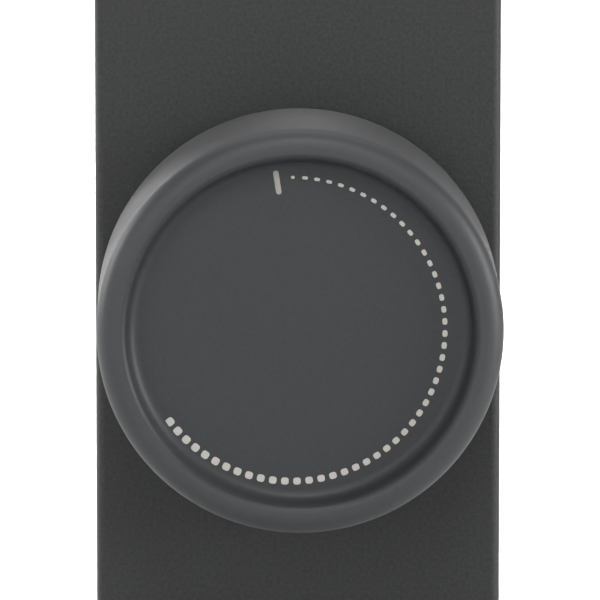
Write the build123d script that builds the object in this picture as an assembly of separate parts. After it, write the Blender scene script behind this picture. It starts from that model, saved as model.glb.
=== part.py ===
from build123d import *
import os
from math import cos, radians, sin

# A rotary light dimmer, one module wide, for a snap-in wall frame.
# X runs across the module, Z up the wall and Y from the room into the wall, all in millimetres.
# The origin lies on the knob's axis, in the plane where the flange seats on the wall frame.

# Front cover and flange
MODULE_WIDTH = 22.2
MODULE_HEIGHT = 44.8
CORNER_RADIUS = 0.7
COVER_FACE_WALL = 1.6
COVER_SIDE_WALL = 1.1
COVER_EDGE_RADIUS = 0.5
COVER_CATCH_WIDTH = 7.0
COVER_CATCH_REACH = 0.5
COVER_CATCH_HEIGHT = 0.9
FLANGE_THICKNESS = 2.0
FLANGE_INSET = 0.1
UPSTAND_WALL = 1.2

# Knob, with its hub, ribs and spring ring
KNOB_RIM_DIAMETER = 21.6
KNOB_HEIGHT = 10.7
KNOB_TAPER = 0.15
KNOB_SKIRT_WALL = 1.5
KNOB_FLOOR = 1.5
KNOB_OUTER_ROUND = 0.45
KNOB_BASE_ROUND = 0.3
RIM_WIDTH = 1.55
RECESS_DEPTH = 1.7
RECESS_LIP_ROUND = 0.42
RECESS_FLOOR_ROUND = 0.6
HUB_WALL = 1.47
HUB_INSET = 0.6
HUB_SLOT_WIDTH = 0.8
HUB_GROOVE_DEPTH = 0.25
RIB_COUNT = 6
RIB_THICKNESS = 0.9
RIB_SETBACK = 1.9
CLIP_THICKNESS = 0.5
CLIP_WIDTH = 1.6
CLIP_INSET = 0.5
CLIP_GAP_ANGLE = 40

# How far the knob pushes in, and how far it stands turned clockwise from upright
PUSH_TRAVEL = 1.5
REST_TURN = -8.5

# Control shaft and its bushing
SHAFT_DIAMETER = 6.0
SHAFT_FLAT_CUT = 1.5
SHOULDER_REACH = 1.2
SHOULDER_THICKNESS = 0.8
KEY_RADIUS = 2.4
KEY_ACROSS_FLATS = 3.2
BUSHING_WALL = 0.47
BUSHING_SETBACK = 0.6
BUSHING_PLATE_THICKNESS = 1.0
WASHER_DIAMETER = 11.6
WASHER_THICKNESS = 0.5
NUT_ACROSS_FLATS = 10.0
NUT_THICKNESS = 2.0
NUT_ROOM = 0.9
PEG_DIAMETER = 1.6
PEG_LENGTH = 1.0
PEG_OFFSET = 1.5

# Potentiometer, whose two stop angles leave the rotor 300 degrees of turn
POT_SIDE = 15.6
POT_WALL = 0.9
ROTOR_THICKNESS = 1.4
STOP_LUG_ANGLE = 40
STOP_POST_ANGLE = 18
STOP_LUG_REACH = 0.9
WIPER_HEIGHT = 1.2
WIPER_SHEET = 0.25
WIPER_ANGLE = 120
WIPER_FINGER_ANGLE = 24
WAFER_THICKNESS = 0.8
POT_PIN_WIDTH = 0.8
POT_PIN_THICKNESS = 0.4
POT_PIN_BEND = 0.2
POT_PIN_SPACING = 5.0
POT_PIN_DROP = 1.2
POT_PIN_INSET = 1.2

# Push switch behind the potentiometer
SWITCH_SIDE = 13.0
SWITCH_WALL = 1.0
PLUNGER_DIAMETER = 7.0
PLUNGER_HEAD = 1.6
STEM_DIAMETER = 2.8
BRIDGE_WIDTH = 3.6
BRIDGE_THICKNESS = 0.3
CONTACT_DIAMETER = 0.9
CONTACT_HEAD_DIAMETER = 1.6
CONTACT_HEAD = 0.5
SPRING_WIRE = 0.4
SPRING_WIRE_SIDES = 8
SPRING_DIAMETER = 3.8
SPRING_TURNS = 3
SPRING_LENGTH = 3.4

# Rear housing, latches and snap arms
HOUSING_DEPTH = 31.0
HOUSING_END_INSET = 2.2
HOUSING_SIDE_INSET = 0.8
HOUSING_WALL = 1.2
HOUSING_ROUND = 0.8
REAR_EDGE_ROUND = 0.4
SOCKET_DEPTH = 0.4
LATCH_WIDTH = 9.0
LATCH_LENGTH = 11.0
LATCH_THICKNESS = 1.1
LATCH_HOOK_REACH = 1.2
LATCH_HOOK_CREST = 0.6
LATCH_HOOK_RAMP = 2.0
RAIL_THICKNESS = 2.0
SNAP_ARM_WIDTH = 5.0
SNAP_ARM_THICKNESS = 1.0
SNAP_ARM_LENGTH = 7.0
SNAP_ARM_HEIGHT = 13.0
SNAP_NUB_DEPTH = 2.2
SNAP_NUB_REACH = 0.9
POST_SIDE = 1.4
VENT_WIDTH = 1.2
VENT_LENGTH = 8.0
VENT_PITCH = 2.4
SIDE_VENT_COUNT = 5
TOP_VENT_COUNT = 6
REAR_VENT_COUNT = 6
REAR_VENT_LENGTH = 9.0

# Main circuit board and what stands on it
BOARD_THICKNESS = 1.2
LEAD_DIAMETER = 0.7
LEAD_BEND = 0.7
LARGE_CAPACITOR_DIAMETER = 8.0
LARGE_CAPACITOR_LENGTH = 11.0
LARGE_CAPACITOR_LEAD_SPACING = 3.5
LARGE_CAPACITOR_ROUND = 0.6
CRIMP_DEPTH = 0.25
CRIMP_WIDTH = 0.7
CRIMP_SETBACK = 1.4
FILM_CAPACITOR_HEIGHT = 8.6
FILM_CAPACITOR_LENGTH = 10.0
FILM_CAPACITOR_LEAD_SPACING = 5.0
FILM_CAPACITOR_ROUND = 0.4
CHOKE_DIAMETER = 10.2
CHOKE_BORE = 5.8
CHOKE_THICKNESS = 4.6
WINDING_THICKNESS = 0.8
WINDING_ANGLE = 300
WINDING_LEAD_ANGLE = 10
VARISTOR_DIAMETER = 7.0
VARISTOR_THICKNESS = 2.8
VARISTOR_LEAD_SPACING = 4.0
FUSE_DIAMETER = 2.6
FUSE_LENGTH = 4.0
FUSE_LEAD_RUN = 1.2
TRANSISTOR_WIDTH = 6.6
TRANSISTOR_LENGTH = 6.1
TRANSISTOR_THICKNESS = 2.3
TRANSISTOR_STANDOFF = 3.4
TRANSISTOR_LEAD_SPACING = 2.3
HEAT_SINK_LENGTH = 9.0
HEAT_SINK_THICKNESS = 1.5
HEAT_SINK_STANDOFF = 1.7
HEAT_SINK_LUG_WIDTH = 2.0
CHIP_LENGTH = 8.6
CHIP_WIDTH = 3.9
CHIP_THICKNESS = 1.5
CHIP_LEG_COUNT = 7
CHIP_LEG_PITCH = 1.1
CHIP_LEG_WIDTH = 0.4
CHIP_LEG_REACH = 0.7
CHIP_LEG_HEIGHT = 0.6

# Screw terminals with rising cages, and the block that holds them
TERMINAL_COUNT = 3
TERMINAL_PARTITION = 0.7
BLOCK_TOP_WALL = 0.9
BLOCK_REAR_WALL = 2.4
BLOCK_LUG_WIDTH = 3.6
BLOCK_LUG_HEIGHT = 4.4
FUNNEL_DEPTH = 0.7
SCREW_HEAD_DIAMETER = 4.2
SCREW_HEAD_HEIGHT = 1.5
SCREW_SHANK_DIAMETER = 2.9
SCREW_SLOT_WIDTH = 0.7
SCREW_SLOT_DEPTH = 0.7
ACCESS_HOLE_DIAMETER = 3.5
CAGE_DEPTH = 5.4
CAGE_SIDE_WALL = 0.7
CAGE_NUT_WALL = 1.4
CAGE_FLOOR_WALL = 1.0
CAGE_TRAVEL = 2.4
WIRE_SPACE = 3.4
BAR_THICKNESS = 0.9
TAIL_WIDTH = 1.6

# Clearances, from a running fit to the room between two components
RUNNING = 0.03
TOUCH_GAP = 0.05
KEY_CLEARANCE = 0.05
SOCKET_CLEARANCE = 0.05
END_GAP = 0.1
HOLE_CLEARANCE = 0.1
COVER_CLEARANCE = 0.15
SLIDE_CLEARANCE = 0.2
LATCH_GAP = 0.4
PART_GAP = 0.4
UPSTAND_GAP = 0.8

# Places along Y, from the room into the wall
flange_front = -FLANGE_THICKNESS
washer_front = flange_front - WASHER_THICKNESS
nut_front = washer_front - NUT_THICKNESS
cover_inside = nut_front - NUT_ROOM
cover_face = cover_inside - COVER_FACE_WALL
upstand_front = cover_inside + UPSTAND_GAP
knob_back = cover_face - PUSH_TRAVEL - SLIDE_CLEARANCE
knob_front = knob_back - KNOB_HEIGHT
recess_floor = knob_front + RECESS_DEPTH
knob_underside = recess_floor + KNOB_FLOOR
hub_back = knob_back - HUB_INSET
clip_back = hub_back - CLIP_INSET
clip_front = clip_back - CLIP_WIDTH
rib_back = clip_front - RIB_SETBACK
shaft_front = knob_underside + END_GAP
bushing_front = cover_face + BUSHING_SETBACK
web_back = -SOCKET_DEPTH
pot_front = web_back + BUSHING_PLATE_THICKNESS
shoulder_front = pot_front + END_GAP
shoulder_back = shoulder_front + SHOULDER_THICKNESS
rotor_front = shoulder_back + PUSH_TRAVEL + SLIDE_CLEARANCE
rotor_back = rotor_front + ROTOR_THICKNESS
wafer_front = rotor_back + WIPER_HEIGHT
pot_back = wafer_front + WAFER_THICKNESS
switch_inside = pot_back + SWITCH_WALL
plunger_front = switch_inside + SLIDE_CLEARANCE
bridge_front = plunger_front + PLUNGER_HEAD
bridge_back = bridge_front + BRIDGE_THICKNESS
contact_front = bridge_back + PUSH_TRAVEL + TOUCH_GAP
spring_end = bridge_back + SPRING_LENGTH
switch_back = spring_end + SWITCH_WALL
board_front = switch_back + END_GAP
board_back = board_front + BOARD_THICKNESS
housing_rear = HOUSING_DEPTH
housing_rear_inside = housing_rear - HOUSING_WALL
block_rear_inside = housing_rear - BLOCK_REAR_WALL
cage_back = block_rear_inside - PART_GAP
cage_front = cage_back - CAGE_DEPTH
screw_y = (cage_front + cage_back) / 2
lug_back = housing_rear_inside - PART_GAP
lug_front = lug_back - BLOCK_LUG_WIDTH

# Half sizes across X and Z
half_width = MODULE_WIDTH / 2
half_height = MODULE_HEIGHT / 2
flange_half_width = half_width - FLANGE_INSET
flange_half_height = half_height - FLANGE_INSET
housing_half_width = half_width - HOUSING_SIDE_INSET
housing_half_height = half_height - HOUSING_END_INSET
inner_half_width = housing_half_width - HOUSING_WALL
inner_half_height = housing_half_height - HOUSING_WALL
board_half_width = inner_half_width - SLIDE_CLEARANCE
board_half_height = inner_half_height - SLIDE_CLEARANCE
pot_half = POT_SIDE / 2
post_inner_x = inner_half_width - END_GAP - POST_SIDE
post_inner_z = inner_half_height - END_GAP - POST_SIDE
snap_arm_outer = inner_half_width - END_GAP
snap_arm_inner = snap_arm_outer - SNAP_ARM_THICKNESS

# Radii about the knob's axis
rim_radius = KNOB_RIM_DIAMETER / 2
base_radius = rim_radius + KNOB_TAPER
recess_radius = rim_radius - RIM_WIDTH
shaft_radius = SHAFT_DIAMETER / 2
hub_radius = shaft_radius + RUNNING + HUB_WALL
groove_radius = hub_radius - HUB_GROOVE_DEPTH
bushing_radius = shaft_radius + RUNNING + BUSHING_WALL
peg_height = bushing_radius + PEG_OFFSET
cavity_radius = pot_half - POT_WALL
rotor_radius = cavity_radius - STOP_LUG_REACH - SLIDE_CLEARANCE
spring_outer_radius = (SPRING_DIAMETER + SPRING_WIRE) / 2
contact_x = spring_outer_radius + PART_GAP + CONTACT_HEAD_DIAMETER / 2

# Heights in the terminal block, from the floor of the housing upwards
head_low = -inner_half_height + END_GAP
head_high = head_low + SCREW_HEAD_HEIGHT
cage_low = head_high + SLIDE_CLEARANCE + CAGE_TRAVEL
cage_nut_top = cage_low + CAGE_NUT_WALL
bar_low = cage_nut_top + SLIDE_CLEARANCE
bar_high = bar_low + BAR_THICKNESS
bar_middle = (bar_low + bar_high) / 2
cage_floor = bar_high + WIRE_SPACE
cage_high = cage_floor + CAGE_FLOOR_WALL
pocket_high = cage_high + SLIDE_CLEARANCE
block_high = pocket_high + BLOCK_TOP_WALL
wire_height = (bar_high + cage_floor) / 2
lug_high = block_high + BLOCK_LUG_HEIGHT
lug_nub_low = lug_high - SNAP_NUB_DEPTH

# Widths in the terminal block, which share the housing's inside between the terminals
pocket_width = (2 * inner_half_width - (TERMINAL_COUNT - 1) * TERMINAL_PARTITION) / TERMINAL_COUNT
terminal_pitch = pocket_width + TERMINAL_PARTITION
terminal_places = [(i - (TERMINAL_COUNT - 1) / 2) * terminal_pitch for i in range(TERMINAL_COUNT)]
cage_half_width = pocket_width / 2 - SLIDE_CLEARANCE
cage_inner_half_width = cage_half_width - CAGE_SIDE_WALL
bar_half_width = cage_inner_half_width - SLIDE_CLEARANCE

# Places in front of the board, as X and Z: the two capacitors fill a row above the potentiometer
row_half_width = post_inner_x - PART_GAP
row_low = pot_half + PART_GAP
film_capacitor_width = 2 * row_half_width - LARGE_CAPACITOR_DIAMETER - PART_GAP
large_capacitor_place = (
    LARGE_CAPACITOR_DIAMETER / 2 - row_half_width,
    row_low + LARGE_CAPACITOR_DIAMETER / 2,
)
film_capacitor_place = (
    row_half_width - film_capacitor_width / 2,
    row_low + FILM_CAPACITOR_HEIGHT / 2,
)
pot_pin_height = -pot_half - POT_PIN_DROP
chip_half_height = CHIP_WIDTH / 2 + CHIP_LEG_REACH
chip_place = (0, pot_pin_height - POT_PIN_WIDTH / 2 - PART_GAP - chip_half_height)

# Places behind the board, as X and Z: the transistors under their heat sink at the top, then the varistor
# and fuse, then the choke, with the free height above the terminal block shared between the rows
heat_sink_high = post_inner_z - PART_GAP
heat_sink_low = heat_sink_high - HEAT_SINK_THICKNESS
heat_sink_middle = (heat_sink_low + heat_sink_high) / 2
heat_sink_half_width = row_half_width
heat_sink_lug_x = heat_sink_half_width - HEAT_SINK_LUG_WIDTH / 2
transistor_x = (TRANSISTOR_WIDTH + PART_GAP) / 2
transistor_height = heat_sink_low - TRANSISTOR_THICKNESS / 2
transistor_low = heat_sink_low - TRANSISTOR_THICKNESS
winding_radius = CHOKE_DIAMETER / 2 + WINDING_THICKNESS
row_heights = VARISTOR_THICKNESS + 2 * winding_radius
row_gap = (transistor_low - block_high - row_heights) / 3
middle_row_low = transistor_low - row_gap - VARISTOR_THICKNESS
choke_place = (0, block_high + row_gap + winding_radius)
varistor_place = (
    -(PART_GAP + VARISTOR_DIAMETER) / 2,
    middle_row_low + VARISTOR_THICKNESS / 2,
)
fuse_lead_x = FUSE_LENGTH / 2 + FUSE_LEAD_RUN
fuse_place = (
    (PART_GAP + LEAD_DIAMETER) / 2 + fuse_lead_x,
    middle_row_low + FUSE_DIAMETER / 2,
)


def slab(x_range, y_range, z_range):
    """A box between three pairs of limits."""
    low = (x_range[0], y_range[0], z_range[0])
    size = (x_range[1] - x_range[0], y_range[1] - y_range[0], z_range[1] - z_range[0])
    return Pos(*low) * Box(*size, align=(Align.MIN, Align.MIN, Align.MIN))


def prism(outline, y_range):
    """An outline drawn in X and Z, run along Y between two limits."""
    return extrude(Plane.XZ.offset(-y_range[1]) * outline, y_range[1] - y_range[0])


def bar_along_y(radius, y_range, place=(0, 0)):
    """A round bar along Y, with its place in X and Z."""
    return prism(Pos(*place) * Circle(radius), y_range)


def bar_along_z(radius, z_range, place):
    """A round bar along Z, with its place in X and Y."""
    return Pos(place[0], place[1], z_range[0]) * extrude(Circle(radius), z_range[1] - z_range[0])


def bent_wire(points, diameter):
    """A round wire through points, bent in arcs between its straight runs."""
    path = FilletPolyline(*points, radius=LEAD_BEND)
    section = Plane(origin=path @ 0, z_dir=path % 0) * Circle(diameter / 2)
    return sweep(section, path=path)


def frame_outline(half_x, half_z, radius=0):
    """A rectangle about the knob's axis, with round corners if it has a radius."""
    if radius:
        return RectangleRounded(2 * half_x, 2 * half_z, radius)
    return Rectangle(2 * half_x, 2 * half_z)


def rounded(corners):
    """A closed outline through corners, each given as two coordinates and the radius that rounds it."""
    outline = make_face(Polyline(*[(x, y) for x, y, _ in corners], close=True))
    for x, y, radius in corners:
        if radius:
            corner = outline.vertices().sort_by_distance((x, y, 0))[0]
            outline = fillet(corner, radius)
    return outline


def flat_sided(radius, across_flats):
    """A circle with two parallel flats."""
    return Circle(radius) & Rectangle(2 * radius, across_flats)


def single_flat(radius, cut):
    """A circle with one flat, cut that far into it at the top."""
    return Circle(radius) & Pos(0, -cut) * Rectangle(2 * radius, 2 * radius)


def ring_sector(inner, outer, start, sweep_angle):
    """Part of a flat ring, from a start angle clockwise from upright."""
    middle = start + sweep_angle / 2
    end = start + sweep_angle
    corners = [(inner, start), (outer, start), (outer, middle), (outer, end), (inner, end), (inner, middle)]
    points = [(radius * sin(radians(angle)), radius * cos(radians(angle))) for radius, angle in corners]
    edges = [
        Line(points[0], points[1]),
        ThreePointArc(points[1], points[2], points[3]),
        Line(points[3], points[4]),
        ThreePointArc(points[4], points[5], points[0]),
    ]
    return make_face(edges)


def at_rest_turn(solid):
    """Turns a piece made upright to where the knob stands."""
    return Rot(0, REST_TURN, 0) * solid


def mirrored_pair(solid):
    """A solid and its mirror image across the module's width."""
    return solid + mirror(solid, Plane.YZ)


def front_cover():
    """The moulded cover: a shallow tray with soft edges, a hole for the hub and two inner catches."""
    shell = prism(frame_outline(half_width, half_height, CORNER_RADIUS), (cover_face, flange_front))
    front_edges = shell.faces().sort_by(Axis.Y)[0].edges()
    shell = fillet(front_edges, COVER_EDGE_RADIUS)
    inside_x = half_width - COVER_SIDE_WALL
    inside_z = half_height - COVER_SIDE_WALL
    shell -= prism(frame_outline(inside_x, inside_z), (cover_inside, flange_front))
    shell -= bar_along_y(hub_radius + SLIDE_CLEARANCE, (cover_face, cover_inside))
    catch_back = flange_front - END_GAP
    catch = slab(
        (-COVER_CATCH_WIDTH / 2, COVER_CATCH_WIDTH / 2),
        (catch_back - COVER_CATCH_HEIGHT, catch_back),
        (inside_z - COVER_CATCH_REACH, inside_z),
    )
    return shell + catch + mirror(catch, Plane.XY)


def support_latch():
    """The upper spring tongue, with the hook that snaps behind the wall frame's rail."""
    top = housing_half_height
    underside = top - LATCH_THICKNESS
    crest = top + LATCH_HOOK_REACH
    hook_front = RAIL_THICKNESS + END_GAP
    hook_crest_end = hook_front + LATCH_HOOK_CREST
    outline = Polyline(
        (web_back, underside),
        (LATCH_LENGTH, underside),
        (LATCH_LENGTH, top),
        (hook_crest_end + LATCH_HOOK_RAMP, top),
        (hook_crest_end, crest),
        (hook_front, crest),
        (hook_front, top),
        (web_back, top),
        close=True,
    )
    return extrude(Plane.YZ * make_face(outline), LATCH_WIDTH / 2, both=True)


def snap_arm(height):
    """An arm inside the housing's right wall, with a nub that snaps into a window in that wall."""
    nub_front = SNAP_ARM_LENGTH - SNAP_NUB_DEPTH
    outline = Polyline(
        (snap_arm_inner, web_back),
        (snap_arm_outer, web_back),
        (snap_arm_outer, nub_front),
        (snap_arm_outer + SNAP_NUB_REACH, nub_front),
        (snap_arm_outer, SNAP_ARM_LENGTH),
        (snap_arm_inner, SNAP_ARM_LENGTH),
        close=True,
    )
    return Pos(0, 0, height) * extrude(make_face(outline), SNAP_ARM_WIDTH / 2, both=True)


def cover_upstand():
    """The wall on the flange that the cover clips over, with a pocket for each of its catches."""
    outer_x = half_width - COVER_SIDE_WALL - COVER_CLEARANCE
    outer_z = half_height - COVER_SIDE_WALL - COVER_CLEARANCE
    y_range = (upstand_front, flange_front)
    wall = prism(frame_outline(outer_x, outer_z), y_range)
    wall -= prism(frame_outline(outer_x - UPSTAND_WALL, outer_z - UPSTAND_WALL), y_range)
    pocket_half = COVER_CATCH_WIDTH / 2 + COVER_CLEARANCE
    pocket = slab(
        (-pocket_half, pocket_half),
        (flange_front - COVER_CATCH_HEIGHT - 2 * END_GAP, flange_front),
        (outer_z - COVER_CATCH_REACH, outer_z),
    )
    return wall - pocket - mirror(pocket, Plane.XY)


def front_frame():
    """The flange that seats on the wall frame, with the latches, the snap arms and the board's posts."""
    flange = frame_outline(flange_half_width, flange_half_height, CORNER_RADIUS)
    body = prism(flange, (flange_front, 0))
    socket_x = housing_half_width + SOCKET_CLEARANCE
    socket_z = housing_half_height + SOCKET_CLEARANCE
    body -= prism(frame_outline(socket_x, socket_z, HOUSING_ROUND), (web_back, 0))
    body += cover_upstand()
    web = (flange_front, web_back)
    body -= bar_along_y(bushing_radius + HOLE_CLEARANCE, web)
    body -= bar_along_y(PEG_DIAMETER / 2 + HOLE_CLEARANCE, web, (0, peg_height))
    latch = support_latch()
    body += latch + mirror(latch, Plane.XY)
    for height in (-SNAP_ARM_HEIGHT, SNAP_ARM_HEIGHT):
        body += mirrored_pair(snap_arm(height))
    post_z = (post_inner_z, post_inner_z + POST_SIDE)
    posts = mirrored_pair(slab((post_inner_x, snap_arm_outer), (web_back, board_front), post_z))
    return body + posts + mirror(posts, Plane.XY)


def row_of(count, pitch):
    """Middles of an even row about zero."""
    return [(i - (count - 1) / 2) * pitch for i in range(count)]


def vent(length):
    """The outline of a round-ended slot that stands upright."""
    return Rot(0, 0, 90) * SlotOverall(length, VENT_WIDTH)


def with_vents(case):
    """The housing with its slots at both sides, on top and at the rear."""
    past_side = housing_half_width + HOUSING_WALL
    below_top = inner_half_height - HOUSING_WALL
    rear_room = (board_back + housing_rear_inside) / 2
    for offset in row_of(SIDE_VENT_COUNT, VENT_PITCH):
        place = Plane.YZ * Pos(rear_room + offset, below_top - VENT_LENGTH / 2)
        case -= extrude(place * vent(VENT_LENGTH), past_side, both=True)
    for offset in row_of(TOP_VENT_COUNT, VENT_PITCH):
        slot = Pos(offset, rear_room, below_top) * vent(VENT_LENGTH)
        case -= extrude(slot, 3 * HOUSING_WALL)
    for offset in row_of(REAR_VENT_COUNT, VENT_PITCH):
        slot = Pos(offset, (block_high + inner_half_height) / 2) * vent(REAR_VENT_LENGTH)
        case -= prism(slot, (housing_rear_inside, housing_rear))
    return case


def rear_housing():
    """The moulded case, open to the front and at the lower rear, where the terminal block sits."""
    outline = frame_outline(housing_half_width, housing_half_height, HOUSING_ROUND)
    case = prism(outline, (web_back, housing_rear))
    rear_edges = case.faces().sort_by(Axis.Y)[-1].edges()
    case = fillet(rear_edges, REAR_EDGE_ROUND)
    case -= prism(frame_outline(inner_half_width, inner_half_height), (web_back, housing_rear_inside))
    past_side = housing_half_width + HOUSING_WALL
    past_end = housing_half_height + HOUSING_WALL
    past_rear = housing_rear + HOUSING_WALL
    across = (-past_side, past_side)
    case -= slab(across, (board_back, past_rear), (-past_end, block_high))
    tongue = LATCH_WIDTH / 2 + LATCH_GAP
    tongue_slot = slab((-tongue, tongue), (web_back, LATCH_LENGTH + LATCH_GAP), (inner_half_height, past_end))
    case -= tongue_slot + mirror(tongue_slot, Plane.XY)
    arm_window = (SNAP_ARM_LENGTH - SNAP_NUB_DEPTH - END_GAP, SNAP_ARM_LENGTH + END_GAP)
    arm_half = SNAP_ARM_WIDTH / 2 + LATCH_GAP
    for height in (-SNAP_ARM_HEIGHT, SNAP_ARM_HEIGHT):
        case -= slab(across, arm_window, (height - arm_half, height + arm_half))
    lug_window = (lug_front - END_GAP, lug_back + END_GAP)
    case -= slab(across, lug_window, (lug_nub_low - END_GAP, lug_high + END_GAP))
    case = with_vents(case)
    post_x = (post_inner_x, inner_half_width)
    post_z = (post_inner_z, inner_half_height)
    return case + mirrored_pair(slab(post_x, (board_back, housing_rear_inside), post_z))


def knob():
    """The turning knob: a cup with a rolled rim, a sunk face, a split hub and ribs under the face."""
    section = rounded([
        (0, recess_floor, 0),
        (recess_radius, recess_floor, RECESS_FLOOR_ROUND),
        (recess_radius, knob_front, RECESS_LIP_ROUND),
        (rim_radius, knob_front, KNOB_OUTER_ROUND),
        (base_radius, knob_back, KNOB_BASE_ROUND),
        (base_radius - KNOB_SKIRT_WALL, knob_back, 0),
        (rim_radius - KNOB_SKIRT_WALL, knob_underside, 0),
        (0, knob_underside, 0),
    ])
    body = revolve(section, Axis.Y)
    rib_reach = rim_radius - KNOB_SKIRT_WALL / 2
    rib = slab((0, rib_reach), (knob_underside, rib_back), (-RIB_THICKNESS / 2, RIB_THICKNESS / 2))
    for i in range(RIB_COUNT):
        body += Rot(0, 360 * i / RIB_COUNT, 0) * rib
    body += bar_along_y(hub_radius, (knob_underside, hub_back))
    body -= prism(single_flat(shaft_radius + RUNNING, SHAFT_FLAT_CUT), (knob_underside, hub_back))
    slot = slab((-hub_radius, hub_radius), (rib_back, hub_back), (-HUB_SLOT_WIDTH / 2, HUB_SLOT_WIDTH / 2))
    groove = Circle(hub_radius + RUNNING) - Circle(groove_radius)
    body -= slot + prism(groove, (clip_front - TOUCH_GAP, clip_back + TOUCH_GAP))
    return at_rest_turn(body)


def knob_clip():
    """The steel spring ring that grips the split hub."""
    inner = groove_radius + RUNNING
    ring = ring_sector(inner, inner + CLIP_THICKNESS, CLIP_GAP_ANGLE / 2, 360 - CLIP_GAP_ANGLE)
    return at_rest_turn(prism(ring, (clip_front, clip_back)))


def control_shaft():
    """The shaft: a flatted end for the knob, a shoulder behind the bushing and a key through the rotor."""
    shaft = prism(single_flat(shaft_radius, SHAFT_FLAT_CUT + RUNNING), (shaft_front, hub_back))
    shaft += bar_along_y(shaft_radius, (hub_back, shoulder_front))
    shaft += bar_along_y(shaft_radius + SHOULDER_REACH, (shoulder_front, shoulder_back))
    shaft += prism(flat_sided(KEY_RADIUS, KEY_ACROSS_FLATS), (shoulder_back, plunger_front))
    return at_rest_turn(shaft)


def bushing():
    """The die-cast bushing and mounting plate, with a peg that stops it turning in the web."""
    part = prism(frame_outline(pot_half, pot_half), (web_back, pot_front))
    part += bar_along_y(bushing_radius, (bushing_front, web_back))
    part += bar_along_y(PEG_DIAMETER / 2, (web_back - PEG_LENGTH, web_back), (0, peg_height))
    return part - bar_along_y(shaft_radius + RUNNING, (bushing_front, pot_front))


def bushing_washer():
    """The washer under the nut."""
    ring = Circle(WASHER_DIAMETER / 2) - Circle(bushing_radius + HOLE_CLEARANCE)
    return prism(ring, (washer_front, flange_front))


def bushing_nut():
    """The hexagon nut that clamps the bushing to the web."""
    hexagon = RegularPolygon(NUT_ACROSS_FLATS / 2, 6, major_radius=False)
    return prism(hexagon - Circle(bushing_radius + RUNNING), (nut_front, washer_front))


def pot_case():
    """The potentiometer's case, with the fixed stop at the bottom of its round cavity."""
    case = prism(Rectangle(POT_SIDE, POT_SIDE) - Circle(cavity_radius), (pot_front, pot_back))
    stop_start = 180 - STOP_POST_ANGLE / 2
    post = ring_sector(rotor_radius + SLIDE_CLEARANCE, cavity_radius + END_GAP, stop_start, STOP_POST_ANGLE)
    return case + prism(post, (rotor_front, rotor_back))


def pot_rotor():
    """The rotor that carries the wiper, keyed on the shaft, with a lug that meets the stop."""
    lug_outer = rotor_radius + STOP_LUG_REACH
    lug = ring_sector(rotor_radius - STOP_LUG_REACH, lug_outer, -STOP_LUG_ANGLE / 2, STOP_LUG_ANGLE)
    key_hole = flat_sided(KEY_RADIUS + KEY_CLEARANCE, KEY_ACROSS_FLATS + 2 * KEY_CLEARANCE)
    return at_rest_turn(prism(Circle(rotor_radius) + lug - key_hole, (rotor_front, rotor_back)))


def wiper():
    """The spring brush on the rotor: a base plate and two fingers that reach to the track."""
    inner = KEY_RADIUS + SLIDE_CLEARANCE
    outer = rotor_radius
    middle = (inner + outer) / 2
    start = -WIPER_ANGLE / 2
    brush = prism(ring_sector(inner, outer, start, WIPER_ANGLE), (rotor_back, rotor_back + WIPER_SHEET))
    for low, high in ((inner, middle - SLIDE_CLEARANCE), (middle + SLIDE_CLEARANCE, outer)):
        finger = ring_sector(low, high, start, WIPER_FINGER_ANGLE)
        brush += prism(finger, (rotor_back, wafer_front - TOUCH_GAP))
    return at_rest_turn(brush)


def track_wafer():
    """The board with the carbon track that the wiper runs on."""
    ring = Circle(cavity_radius - TOUCH_GAP) - Circle(KEY_RADIUS + HOLE_CLEARANCE)
    return prism(ring, (wafer_front, pot_back))


def pot_pin_places():
    """Where the potentiometer's pins pass through the board."""
    return [(i * POT_PIN_SPACING, pot_pin_height) for i in (-1, 0, 1)]


def pot_pins():
    """Three flat pins, bent from the potentiometer's lower edge to the board."""
    root_front = pot_back - POT_PIN_INSET
    root_back = root_front + POT_PIN_THICKNESS
    low = pot_pin_height - POT_PIN_THICKNESS / 2
    high = low + POT_PIN_THICKNESS
    outline = rounded([
        (root_front, -pot_half, 0),
        (root_front, low, POT_PIN_BEND + POT_PIN_THICKNESS),
        (board_back, low, 0),
        (board_back, high, 0),
        (root_back, high, POT_PIN_BEND),
        (root_back, -pot_half, 0),
    ])
    strip = extrude(Plane.YZ * outline, POT_PIN_WIDTH / 2, both=True)
    return Compound(children=[Pos(x, 0, 0) * strip for x, _ in pot_pin_places()])


def contact_places():
    """Where the push switch's fixed contacts stand."""
    return [(-contact_x, 0), (contact_x, 0)]


def switch_case():
    """The push switch's case, fixed behind the potentiometer."""
    case = prism(Rectangle(SWITCH_SIDE, SWITCH_SIDE), (pot_back, switch_back))
    inside = SWITCH_SIDE - 2 * SWITCH_WALL
    case -= prism(Rectangle(inside, inside), (switch_inside, spring_end))
    case -= bar_along_y(KEY_RADIUS + HOLE_CLEARANCE, (pot_back, switch_inside))
    for place in contact_places():
        case -= bar_along_y(CONTACT_DIAMETER / 2 + TOUCH_GAP, (spring_end, switch_back), place)
    return case


def switch_plunger():
    """The plunger that the shaft pushes."""
    head = bar_along_y(PLUNGER_DIAMETER / 2, (plunger_front, bridge_front))
    stem_end = spring_end - PUSH_TRAVEL - SLIDE_CLEARANCE
    return head + bar_along_y(STEM_DIAMETER / 2, (bridge_front, stem_end))


def switch_bridge():
    """The contact bridge on the plunger."""
    length = 2 * contact_x + CONTACT_HEAD_DIAMETER
    plate = Rectangle(length, BRIDGE_WIDTH) - Circle(STEM_DIAMETER / 2 + RUNNING)
    return prism(plate, (bridge_front, bridge_back))


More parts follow.
